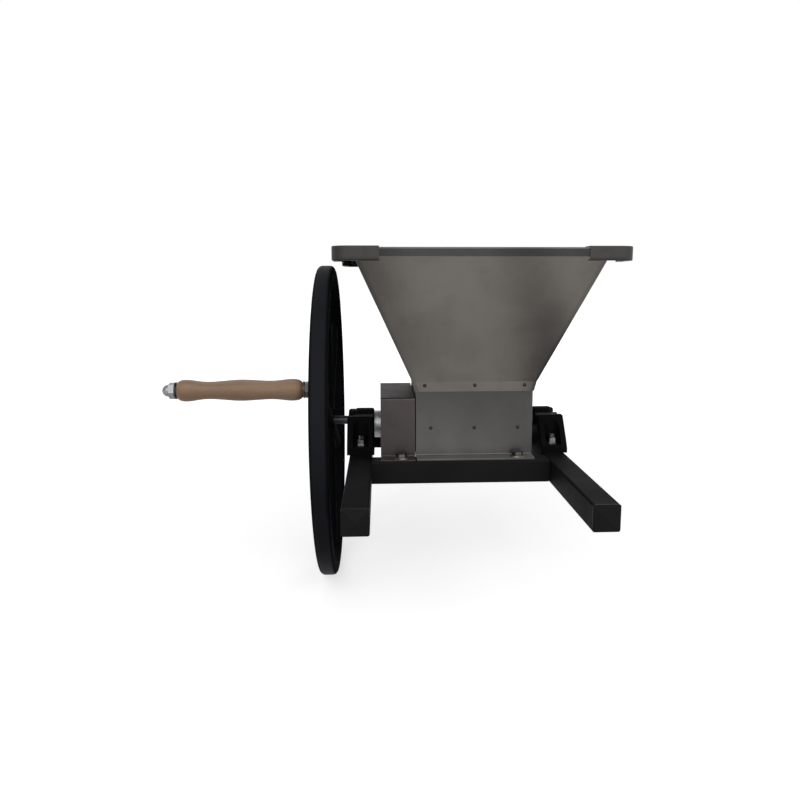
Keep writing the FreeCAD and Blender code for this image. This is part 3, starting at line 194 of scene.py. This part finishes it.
# ---------------------------------------------------------------- sheet steel
def brushed_sheet(name, colour, grain, roughness, smudge, tone=None, graze=1.0, painted_shade=None, edge_wear_and_glint=1.5):
    """Brushed stainless: fine streaks along the grain, cloudy smudges, rubbed edges.

    grain stretches the streaks: high across them and low along them. tone may shade the sheet further, from
    its tree and colour so far. graze below 1 dims its mirroring at shallow angles. painted_shade, from its
    tree, is the share made near black as painted shade. edge_wear_and_glint is how much paler the rubbed
    edges are;
    raised above its default, it also paints a highlight along folds and edges.
    """
    material, tree = new_material(name)
    spot = tree.place()
    streaks = tree.noise(tree.place(grain), 1.0, 4.0, 0.65)
    scratches = tree.noise(tree.place([g * 3.1 for g in grain], (0.4, 0.2, 0.7)), 1.0, 2.0, 0.8)
    clouds = tree.noise(spot, 11.0, 3.0, 0.55, 0.6)
    prints = tree.noise(tree.place(start=(0.31, 0.17, 0.05)), 42.0, 4.0, 0.6, 1.2)
    base = tree.mix(tree.spread(streaks, 0.3, 0.7), shade(colour, 0.94), shade(colour, 1.06))
    base = tree.mix(tree.spread(clouds, 0.38, 0.66, smooth=True), base, grey(1 - smudge), "MULTIPLY")
    base = tree.mix(tree.spread(prints, 0.60, 0.78, 0.0, smudge), base, shade(colour, 0.55))
    if tone is not None:
        base = tone(tree, base)
    # paler edges: rubbed wear, and where edge_wear_and_glint is raised, a painted highlight
    base = tree.mix(tree.maths("MULTIPLY", tree.edge(0.9 * MM), 0.45), base, shade(colour, edge_wear_and_glint))
    rough = tree.maths("ADD", tree.spread(streaks, 0.25, 0.75, roughness - 0.07, roughness + 0.07),
                       tree.spread(prints, 0.5, 0.8, 0.0, 0.12))
    normal = tree.bump(streaks, 0.25, 0.04 * MM, tree.bump(scratches, 0.12, 0.02 * MM))
    metallic = 1.0
    # painted shade: the share is made near black, matt and not metal
    if painted_shade is not None:
        share = painted_shade(tree)
        base = tree.mix(share, base, grey(0.006))
        rough = tree.maths("MULTIPLY_ADD", share, 0.5, rough)
        metallic = tree.maths("SUBTRACT", 1.0, share)
    tree.finish(Base_Color=base, Metallic=metallic, Roughness=rough, Normal=normal, Specular_Tint=grey(graze),
                Specular_IOR_Level=0.03)
    return material


def under_guard(tree):
    """1 on the face that the guard covers, where the plate gets painted shade."""
    spot = tree.place()
    low = tree.spread(tree.along(spot, "Z"), GUARD_TOP - 2 * MM, GUARD_TOP - 8 * MM)
    outer = tree.spread(tree.along(spot, "X"), CHAMBER_LEFT + 0.5 * MM, CHAMBER_LEFT + 0.2 * MM)
    return tree.maths("MULTIPLY", low, outer)


def scaled(tree, base, factor):
    """The colour times a factor that varies over the piece."""
    even = dict.fromkeys(("Red", "Green", "Blue"), factor)
    return tree.mix(1.0, base, tree.add("ShaderNodeCombineColor", inputs=even), "MULTIPLY")


def hopper_painted_shade(axis, middle, half_at_fold, half_at_top):
    """Painted shade towards one corner, along the side edges and on the skirt below the fold, a painted dark
    reflection in an upright band near the other corner, and a painted darker, bluer reflection on the rolled
    rim.

    middle is the panel's middle along axis. The halves are its half widths at the fold and at the top of
    its slope, without the rim.
    """
    slope = (half_at_top - half_at_fold) / (RIM_Z - FOLD_Z)
    band_at_fold, band_lean = 111 * MM, 0.37                # its distance from the middle, less with height
    band_clear, band_reach = 2 * MM, 56 * MM                # it is full to the first and gone at the second
    rolled_from = RIM_Z - 14 * MM

    def tone(tree, base):
        spot = tree.place()
        across = tree.maths("SUBTRACT", tree.along(spot, axis), middle)
        up = tree.maths("SUBTRACT", tree.along(spot, "Z"), FOLD_Z)
        share = tree.maths("DIVIDE", across, tree.maths("MULTIPLY_ADD", up, slope, half_at_fold))
        wander = tree.spread(tree.noise(spot, 7.0, 2.0, 0.5), 0.2, 0.8, -5 * MM, 5 * MM)
        centre = tree.maths("SUBTRACT", band_at_fold, tree.maths("MULTIPLY", up, band_lean))
        off_band = tree.maths("ABSOLUTE", tree.maths("SUBTRACT", tree.maths("ADD", across, wander), centre))
        # painted reflection: a dark upright band
        band = tree.spread(off_band, band_clear, band_reach, 1.0, 0.0, smooth=True)
        band = tree.maths("MULTIPLY", band, tree.spread(up, 0.0, 0.15, 0.46, 0.27))
        # painted shade towards one corner, along the side edges and on the skirt below the fold
        corner = tree.spread(share, -0.40, -1.08, 0.0, 1.0, smooth=True)
        corner = tree.maths("MULTIPLY", corner, tree.spread(up, 0.02, 0.16, 0.10, 0.52))
        far = tree.spread(tree.maths("ABSOLUTE", share), 0.95, 1.0, 0.0, 0.20)
        far = tree.maths("ADD", far, tree.spread(share, 0.62, 0.9, 0.0, 0.12))
        skirt = tree.spread(up, 0.5 * MM, -0.5 * MM, 0.0, 0.21)
        hopper_shade = tree.maths("ADD", tree.maths("ADD", band, corner), tree.maths("ADD", far, skirt), clamp=True)
        base = scaled(tree, base, tree.maths("SUBTRACT", 1.0, hopper_shade))
        # painted reflection: the rolled rim's upright faces darker and bluer
        upright = tree.spread(tree.maths("ABSOLUTE", tree.facing("Z")), 0.25, 0.10)
        at_rim = tree.spread(tree.along(spot, "Z"), rolled_from, rolled_from + 1 * MM)
        rolled = tree.maths("MULTIPLY", upright, at_rim)
        return tree.mix(rolled, base, tree.mix(1.0, base, (0.31, 0.33, 0.37, 1), "MULTIPLY"))
    return tone


def chamber_painted_light(tree, base):
    """Painted light and shade: darker at the top, paler towards the bottom, and much paler on the flange."""
    height = tree.along(tree.place(), "Z")
    # painted shade towards the top and painted light towards the bottom
    rise = tree.spread(height, CHAMBER_FOOT + 2.8 * MM, FOLD_Z - 6.2 * MM, 1.30, 0.70)
    return scaled(tree, base, tree.maths("MULTIPLY_ADD", level_low_down(tree), 2.9, rise))


def guard_painted_light(tree, base):
    """Painted light: much paler on the flanges that are bolted down."""
    return scaled(tree, base, tree.maths("MULTIPLY_ADD", level_low_down(tree), 2.4, 1.0))


def level_low_down(tree):
    """1 on faces that look up and are near the frame's tubes, and 0 elsewhere: where flanges get painted
    light.
    """
    upward = tree.facing("Z")
    low = tree.spread(tree.along(tree.place(), "Z"), TUBE_TOP + 15 * MM, TUBE_TOP + 10 * MM)
    return tree.maths("MULTIPLY", tree.spread(upward, 0.6, 0.95), low)


# ---------------------------------------------------------------- paint, plastic and other metals
def paint(name, colour, roughness, specular, peel, wear, cast_and_shade=None):
    """Sprayed paint: orange peel, a few dust specks, dulled patches and paler rubbed edges.

    cast_and_shade, from its tree, is the share of rough casting under the paint, which leaves it matt, and
    which is also darker there as painted shade.
    """
    material, tree = new_material(name)
    spot = tree.place()
    ripple = tree.noise(spot, peel, 3.0, 0.55)
    patches = tree.noise(spot, 9.0, 4.0, 0.6, 0.4)
    specks = tree.noise(tree.place(start=(0.2, 0.6, 0.1)), 620.0, 2.0, 0.5)
    broken = tree.noise(tree.place(start=(0.7, 0.1, 0.4)), 160.0, 4.0, 0.7)
    base = tree.mix(tree.spread(patches, 0.35, 0.7), shade(colour, 0.86), shade(colour, 1.18))
    base = tree.mix(tree.spread(specks, 0.70, 0.80, 0.0, 0.5), base, shade(colour, 2.6))
    rubbed = tree.maths("MULTIPLY", tree.edge(1.1 * MM), tree.spread(broken, 0.42, 0.68, 0.15, 1.0))
    rough = tree.maths("ADD", tree.spread(patches, 0.3, 0.7, roughness - 0.06, roughness + 0.08),
                       tree.maths("MULTIPLY", rubbed, 0.08))
    if cast_and_shade is not None:
        share = cast_and_shade(tree)
        # painted shade on the casting's share
        base = scaled(tree, base, tree.maths("MULTIPLY_ADD", share, -0.60, 1.0))
        rubbed = tree.maths("MULTIPLY", rubbed, tree.maths("MULTIPLY_ADD", share, -0.5, 1.0))
        rough = tree.maths("MULTIPLY_ADD", share, 0.5, rough)
    base = tree.mix(tree.maths("MULTIPLY", rubbed, wear), base, shade(colour, 4.0))
    normal = tree.bump(ripple, 0.22, 0.12 * MM, tree.bump(specks, 0.10, 0.05 * MM))
    tree.finish(Base_Color=base, Roughness=rough, Normal=normal, Specular_IOR_Level=specular)
    return material


def wheel_casting(tree):
    """1 on the spokes, hub and flanks, and 0 on the turned tread. Where it is 1 the enamel gets painted shade
    as well as a rougher finish.
    """
    sideways = tree.facing("X")
    radius = tree.length(tree.place((0, 1, 1), (0, 0, -AXIS_Z)))
    return tree.maths("MAXIMUM", tree.spread(tree.maths("ABSOLUTE", sideways), 0.35, 0.8),
                      tree.spread(radius, WHEEL_RADIUS - 10 * MM, WHEEL_RADIUS - 15 * MM))


def cap_painted_shade(tree, base):
    """Painted shade round the hopper's corners and towards the caps' lower edge."""
    unshaded_x, shaded_x = 160 * MM, 180 * MM                    # distances from the hopper's middle
    unshaded_y, shaded_y = 138 * MM, 160 * MM
    spot = tree.place(start=(-CHAMBER_X, 0, 0))
    beside = tree.spread(tree.maths("ABSOLUTE", tree.along(spot, "X")), unshaded_x, shaded_x, smooth=True)
    before = tree.spread(tree.maths("ABSOLUTE", tree.along(spot, "Y")), unshaded_y, shaded_y, smooth=True)
    below = tree.spread(tree.along(spot, "Z"), CAP_FOOT + 4.5 * MM, CAP_FOOT, 0.0, 0.74)
    dark = tree.maths("MULTIPLY", tree.maths("MULTIPLY", beside, before), 0.5)
    return scaled(tree, base, tree.maths("SUBTRACT", 1.0, tree.maths("MAXIMUM", dark, below)))


def moulded(name, colour, roughness, specular, grain=1500.0, streak=0.12, tone=None):
    """Moulded plastic: fine spark grain, faint flow marks and paler rubbed edges."""
    material, tree = new_material(name)
    spot = tree.place()
    texture = tree.noise(spot, grain, 3.0, 0.6)
    flow = tree.noise(tree.place((14, 14, 46)), 1.0, 3.0, 0.6, 1.4)
    stain = tree.noise(tree.place(start=(0.5, 0.3, 0.8)), 34.0, 4.0, 0.65)
    base = tree.mix(tree.spread(flow, 0.35, 0.68), shade(colour, 1 - streak), shade(colour, 1 + streak))
    base = tree.mix(tree.spread(stain, 0.52, 0.78, 0.0, 0.35), base, shade(colour, 0.62))
    if tone is not None:
        base = tone(tree, base)
    base = tree.mix(tree.maths("MULTIPLY", tree.edge(0.8 * MM), 0.5), base, shade(colour, 1.9))
    rough = tree.maths("ADD", tree.spread(texture, 0.3, 0.7, roughness - 0.05, roughness + 0.05),
                       tree.spread(stain, 0.45, 0.75, 0.0, 0.08))
    normal = tree.bump(texture, 0.35, 0.05 * MM)
    tree.finish(Base_Color=base, Roughness=rough, Normal=normal, Specular_IOR_Level=specular)
    return material


def plated(name, colour, roughness, thread=None):
    """Bright plating: hazy patches, hairline tool marks and, on a threaded piece, the thread's ridges."""
    material, tree = new_material(name)
    spot = tree.place()
    haze = tree.noise(spot, 90.0, 4.0, 0.6, 0.8)
    hairs = tree.noise(tree.place((5200, 900, 900)), 1.0, 2.0, 0.7)
    base = tree.mix(tree.spread(haze, 0.35, 0.7), shade(colour, 0.80), shade(colour, 1.08))
    tint = (colour[0] * 0.98, colour[1] * 0.86, colour[2] * 0.62, 1)
    base = tree.mix(tree.spread(haze, 0.58, 0.78, 0.0, 0.45), base, tint)
    base = tree.mix(tree.maths("MULTIPLY", tree.edge(0.5 * MM), 0.5), base, shade(colour, 1.5))
    rough = tree.spread(haze, 0.3, 0.75, roughness - 0.06, roughness + 0.14)
    normal = tree.bump(hairs, 0.18, 0.02 * MM)
    if thread is not None:
        axis, pitch = thread
        turn = tree.maths("MULTIPLY", tree.along(spot, axis), 2 * math.pi / pitch)
        ridge = tree.maths("ABSOLUTE", tree.maths("SINE", turn))
        normal = tree.bump(ridge, 0.9, 0.45 * MM, normal)
        # painted shade in the thread's grooves
        base = tree.mix(tree.spread(ridge, 0.5, 0.0, 0.0, 0.7), base, shade(colour, 0.25))
    tree.finish(Base_Color=base, Metallic=1.0, Roughness=rough, Normal=normal)
    return material


def galvanised():
    """Dipped zinc: dull crystals of slightly different grey."""
    colour = (0.46, 0.46, 0.47)
    material, tree = new_material("galvanised_zinc")
    spot = tree.place()
    cells = tree.add("ShaderNodeTexVoronoi", outlet="Color", inputs={"Vector": spot, "Scale": 330.0})
    level = tree.add("ShaderNodeSeparateColor", outlet="Red", inputs={"Color": cells})
    bloom = tree.noise(spot, 60.0, 4.0, 0.6)
    base = tree.mix(level, shade(colour, 0.78), shade(colour, 1.16))
    base = tree.mix(tree.spread(bloom, 0.5, 0.75, 0.0, 0.5), base, shade(colour, 0.6))
    rough = tree.spread(level, 0, 1, 0.34, 0.55)
    tree.finish(Base_Color=base, Metallic=0.9, Roughness=rough, Normal=tree.bump(level, 0.15, 0.05 * MM))
    return material


def turned_about_x(name, colour, roughness, metallic=1.0, faced=False, stain=None):
    """Cut on a lathe: rings along X and, where it is faced, circles about the shaft's axis."""
    material, tree = new_material(name)
    spot = tree.place(start=(0, 0, -AXIS_Z))
    rings = tree.noise(tree.place((2600, 3, 3)), 1.0, 3.0, 0.7)
    if faced:
        radius = tree.length(tree.add("ShaderNodeMapping", inputs={"Vector": spot, "Scale": (0, 1, 1)}))
        circles = tree.noise(tree.add("ShaderNodeCombineXYZ", inputs={"X": radius}), 1900.0, 3.0, 0.7)
        rings = tree.maths("MULTIPLY", tree.maths("ADD", rings, circles), 0.5)
    cloud = tree.noise(spot, 30.0, 4.0, 0.6, 0.5)
    base = tree.mix(tree.spread(rings, 0.35, 0.65), shade(colour, 0.86), shade(colour, 1.12))
    dulled = stain if stain is not None else shade(colour, 0.6)
    base = tree.mix(tree.spread(cloud, 0.45, 0.75, 0.0, 0.6), base, dulled)
    base = tree.mix(tree.maths("MULTIPLY", tree.edge(0.5 * MM), 0.4), base, shade(colour, 1.4))
    rough = tree.maths("ADD", tree.spread(rings, 0.3, 0.7, roughness - 0.06, roughness + 0.06),
                       tree.spread(cloud, 0.4, 0.75, 0.0, 0.12))
    tree.finish(Base_Color=base, Metallic=metallic, Roughness=rough, Normal=tree.bump(rings, 0.3, 0.05 * MM))
    return material


# ---------------------------------------------------------------- wood
def beech():
    """Oiled beech along X: bowed growth rings, short dark flecks along the grain and a waxy coat."""
    pale, mid, dark = (0.307, 0.191, 0.117), (0.243, 0.146, 0.083), (0.128, 0.069, 0.035)
    material, tree = new_material("oiled_beech")
    spot = tree.place((1.0, 9.0, 9.0))
    bend = tree.noise(tree.place((5, 12, 12)), 1.0, 3.0, 0.5, 0.6)
    rings = tree.noise(tree.add("ShaderNodeVectorMath", operation="ADD",
                                inputs={0: tree.place((6, 120, 120)), 1: bend}), 1.0, 3.0, 0.6, 1.6)
    fibres = tree.noise(tree.place((60, 2600, 2600)), 1.0, 3.0, 0.7)
    flecks = tree.noise(tree.place((180, 1500, 1500), (0.3, 0.1, 0.2)), 1.0, 2.0, 0.5)
    tone = tree.noise(spot, 7.0, 2.0, 0.5)
    base = tree.mix(tree.spread(rings, 0.36, 0.64, smooth=True), (*mid, 1), (*pale, 1))
    base = tree.mix(tree.spread(tone, 0.35, 0.7, 0.0, 0.35), base, shade(mid, 0.82))
    base = tree.mix(tree.spread(fibres, 0.42, 0.62, 0.16, 0.0), base, (*dark, 1))
    pores = tree.spread(flecks, 0.66, 0.74)
    base = tree.mix(tree.maths("MULTIPLY", pores, 0.6), base, (*dark, 1))
    handled = tree.noise(tree.place((9, 26, 26), (0.1, 0.2, 0.3)), 1.0, 3.0, 0.6)
    base = tree.mix(tree.spread(handled, 0.52, 0.75, 0.0, 0.22), base, shade(dark, 1.4))
    rough = tree.maths("ADD", tree.spread(fibres, 0.3, 0.7, 0.40, 0.50),
                       tree.spread(handled, 0.4, 0.7, 0.05, -0.06))
    normal = tree.bump(tree.maths("SUBTRACT", fibres, pores), 0.25, 0.06 * MM)
    tree.finish(Base_Color=base, Roughness=rough, Normal=normal, Specular_IOR_Level=0.35, Coat_Weight=0.12,
                Coat_Roughness=0.30)
    return material


# ---------------------------------------------------------------- what is made of what
def dress():
    up_front, up_side = (2600, 40, 26), (40, 2600, 26)      # grain that runs up the hopper's panels
    along_x, along_y = (30, 1900, 1900), (1900, 30, 1900)   # grain that runs level

    hopper = (0.138, 0.127, 0.116)
    front_painted_shade = hopper_painted_shade("X", CHAMBER_X, 81 * MM, 157.7 * MM)
    side_painted_shade = hopper_painted_shade("Y", 0, 79 * MM, 143 * MM)
    assign(brushed_sheet("hopper_steel_front", hopper, up_front, 0.36, 0.14, front_painted_shade),
           "hopper_front_panel", "hopper_rear_panel")
    assign(brushed_sheet("hopper_steel_side", hopper, up_side, 0.36, 0.14, side_painted_shade),
           "hopper_left_panel", "hopper_right_panel")

    chamber = (0.077, 0.074, 0.072)
    assign(brushed_sheet("chamber_steel_front", chamber, along_x, 0.42, 0.12, chamber_painted_light),
           "chamber_front_plate", "chamber_rear_plate", "front_comb", "rear_comb")
    assign(brushed_sheet("chamber_steel_side", chamber, along_y, 0.42, 0.12),
           "chamber_right_plate", "discharge_chute")
    # painted shade on the left plate's outer face where the guard hides it
    assign(brushed_sheet("chamber_steel_painted_shade", chamber, along_y, 0.42, 0.12, painted_shade=under_guard),
           "chamber_left_plate")
    # the guard is the chamber's steel in a darker copy, painted shade; its raised edges paint a highlight
    # along the folds
    assign(brushed_sheet("guard_steel_shaded", (0.056, 0.049, 0.047), along_x, 0.44, 0.12, guard_painted_light, 0.58,
                         edge_wear_and_glint=3.0),
           "side_guard_cover", "side_guard_end_plate")
    assign(brushed_sheet("blade_steel", (0.30, 0.30, 0.30), (40, 2600, 2600), 0.30, 0.2),
           "drum_blade_1", "drum_blade_2", "drum_blade_3", "drum_blade_4")

    # one black paint in lit and shaded copies: painted shade makes the legs darker than the cross members
    assign(paint("frame_paint_legs_shaded", (0.0054, 0.0054, 0.0057), 0.56, 0.028, 420.0, 0.35),
           "left_leg", "right_leg")
    assign(paint("frame_paint_cross_lit", (0.0126, 0.0126, 0.0131), 0.46, 0.03, 420.0, 0.9),
           "front_cross_tube", "rear_cross_rail")
    assign(paint("wheel_enamel", (0.0150, 0.0156, 0.0192), 0.48, 0.015, 230.0, 0.30, wheel_casting),
           "flywheel")

    assign(moulded("block_plastic", (0.0038, 0.0038, 0.0038), 0.50, 0.03),
           "left_bearing_block", "right_bearing_block")
    assign(moulded("plug_plastic", (0.0060, 0.0060, 0.0062), 0.45, 0.08),
           "leg_end_plugs")
    assign(moulded("cap_plastic_grey", (0.068, 0.064, 0.061), 0.48, 0.20, tone=cap_painted_shade),
           "rim_cap_front_left", "rim_cap_front_right", "rim_cap_rear_left", "rim_cap_rear_right")
    assign(moulded("seal_plastic_white", (0.55, 0.54, 0.51), 0.45, 0.4, 900.0, 0.05),
           "left_shaft_seal", "right_shaft_seal")

    zinc = (0.21, 0.21, 0.22)
    assign(plated("rivet_steel_dull", (0.034, 0.031, 0.027), 0.42),
           "comb_rivets", "skirt_rivets")
    assign(plated("zinc_plate_bright", zinc, 0.24),
           "blind_rivet_nuts", "stud_washers", "stud_nuts", "disc_screws", "shaft_end_washer",
           "shaft_end_nut", "acorn_nut")
    # copies of the zinc plating: the flange bolts' darker one is painted shade
    assign(plated("zinc_plate_shaded", (0.098, 0.094, 0.088), 0.30),
           "flange_bolts")
    # the flange washers' paler copy is painted light
    assign(plated("zinc_plate_lit", (0.24, 0.22, 0.20), 0.34),
           "flange_washers")
    # the spindle nut's and grip washers' darker copy is painted shade
    assign(plated("zinc_plate_deep_shaded", (0.048, 0.047, 0.046), 0.30),
           "spindle_nut", "grip_washers")
    assign(plated("zinc_plate_stud_thread", zinc, 0.26, ("Z", 1.25 * MM)),
           "bearing_studs")
    assign(plated("bright_spindle_thread", zinc, 0.28, ("X", 1.5 * MM)),
           "crank_spindle")
    assign(galvanised(),
           "shaft_ring")

    assign(turned_about_x("turned_shaft_steel", (0.044, 0.045, 0.049), 0.22),
           "shaft", "shaft_keys", "bearing_set_screws")
    assign(turned_about_x("turned_disc_steel", (0.32, 0.315, 0.31), 0.34, faced=True),
           "drum_left_disc", "drum_right_disc")
    assign(turned_about_x("ground_bearing_steel", (0.48, 0.48, 0.49), 0.18, faced=True),
           "left_outer_ring", "right_outer_ring", "bearing_balls")
    assign(turned_about_x("blued_bearing_steel", (0.030, 0.031, 0.035), 0.26, faced=True),
           "left_inner_ring", "right_inner_ring")
    assign(turned_about_x("turned_drum_plastic", (0.55, 0.53, 0.48), 0.5, 0.0, True,
                          stain=(0.36, 0.27, 0.15, 1)),
           "drum")
    assign(turned_about_x("bearing_brass", (0.45, 0.31, 0.11), 0.34, faced=True),
           "grip_bushes")
    assign(beech(),
           "grip")


# ---------------------------------------------------------------- stage
def unseen_share(tree):
    """0 for rays that show the background, seen or mirrored, and 1 for light that falls on the object."""
    path = tree.tree.nodes.new("ShaderNodeLightPath")
    seen = tree.maths("MAXIMUM", path.outputs["Is Camera Ray"], path.outputs["Is Glossy Ray"])
    seen = tree.maths("MAXIMUM", seen, path.outputs["Is Transmission Ray"])
    return tree.maths("SUBTRACT", 1.0, seen)


def make_world():
    """White where it is seen or mirrored, and dimmer as a lamp, as a cut-out studio picture is."""
    as_lamp = 0.30
    world = bpy.data.worlds.new("World")
    bpy.context.scene.world = world
    tree = Tree(world)
    white = tree.add("ShaderNodeBackground", inputs={"Color": grey(1.0), "Strength": 1.0})
    dim = tree.add("ShaderNodeBackground", inputs={"Color": grey(1.0), "Strength": as_lamp})
    both = tree.add("ShaderNodeMixShader", inputs={0: unseen_share(tree), 1: white, 2: dim})
    tree.tree.links.new(both, tree.add("ShaderNodeOutputWorld").inputs["Surface"])


def make_floor():
    """Just under the wheel: white where it is seen, save for a shadow, and grey as a source of light."""
    reach = 14.0
    low = cad_box[0][2] - 0.5 * MM
    dim_within, white_beyond = 0.5, 2.2
    mesh = bpy.data.meshes.new("Floor")
    mesh.from_pydata([(-reach, -reach, low), (reach, -reach, low), (reach, reach, low), (-reach, reach, low)],
                     [], [(0, 1, 2, 3)])
    floor = bpy.data.objects.new("Floor", mesh)
    bpy.context.scene.collection.objects.link(floor)
    material, tree = new_material("floor")
    glow = tree.spread(tree.length(tree.place()), dim_within, white_beyond, 0.62, 1.0)
    pale = tree.add("ShaderNodeBsdfDiffuse", inputs={"Color": grey(0.8)})
    light = tree.add("ShaderNodeEmission", inputs={"Color": grey(1.0), "Strength": glow})
    seen = tree.add("ShaderNodeAddShader", inputs={0: pale, 1: light})
    dim = tree.add("ShaderNodeBsdfDiffuse", inputs={"Color": grey(0.24)})
    both = tree.add("ShaderNodeMixShader", inputs={0: unseen_share(tree), 1: seen, 2: dim})
    tree.tree.links.new(both, tree.add("ShaderNodeOutputMaterial").inputs["Surface"])
    mesh.materials.append(material)


def area_light(name, place, aim, size, power):
    data = bpy.data.lights.new(name, "AREA")
    data.shape = "RECTANGLE"
    data.size, data.size_y = size
    data.energy = power
    light = bpy.data.objects.new(name, data)
    bpy.context.scene.collection.objects.link(light)
    light.location = place
    light.rotation_euler = (Vector(aim) - Vector(place)).to_track_quat("-Z", "Y").to_euler()


def make_lights():
    middle = (0, 0, 0.1)
    area_light("Key", (-0.6, -2.6, 1.6), middle, (3.0, 2.4), 44)
    area_light("Fill", (2.2, -1.6, 1.2), middle, (2.4, 2.0), 16)
    area_light("Top", (0.2, 0.2, 2.6), (0, 0, 0), (3.4, 3.4), 5)


make_camera()
make_world()
make_floor()
make_lights()
dress()

bpy.context.scene.view_settings.view_transform = "Standard"
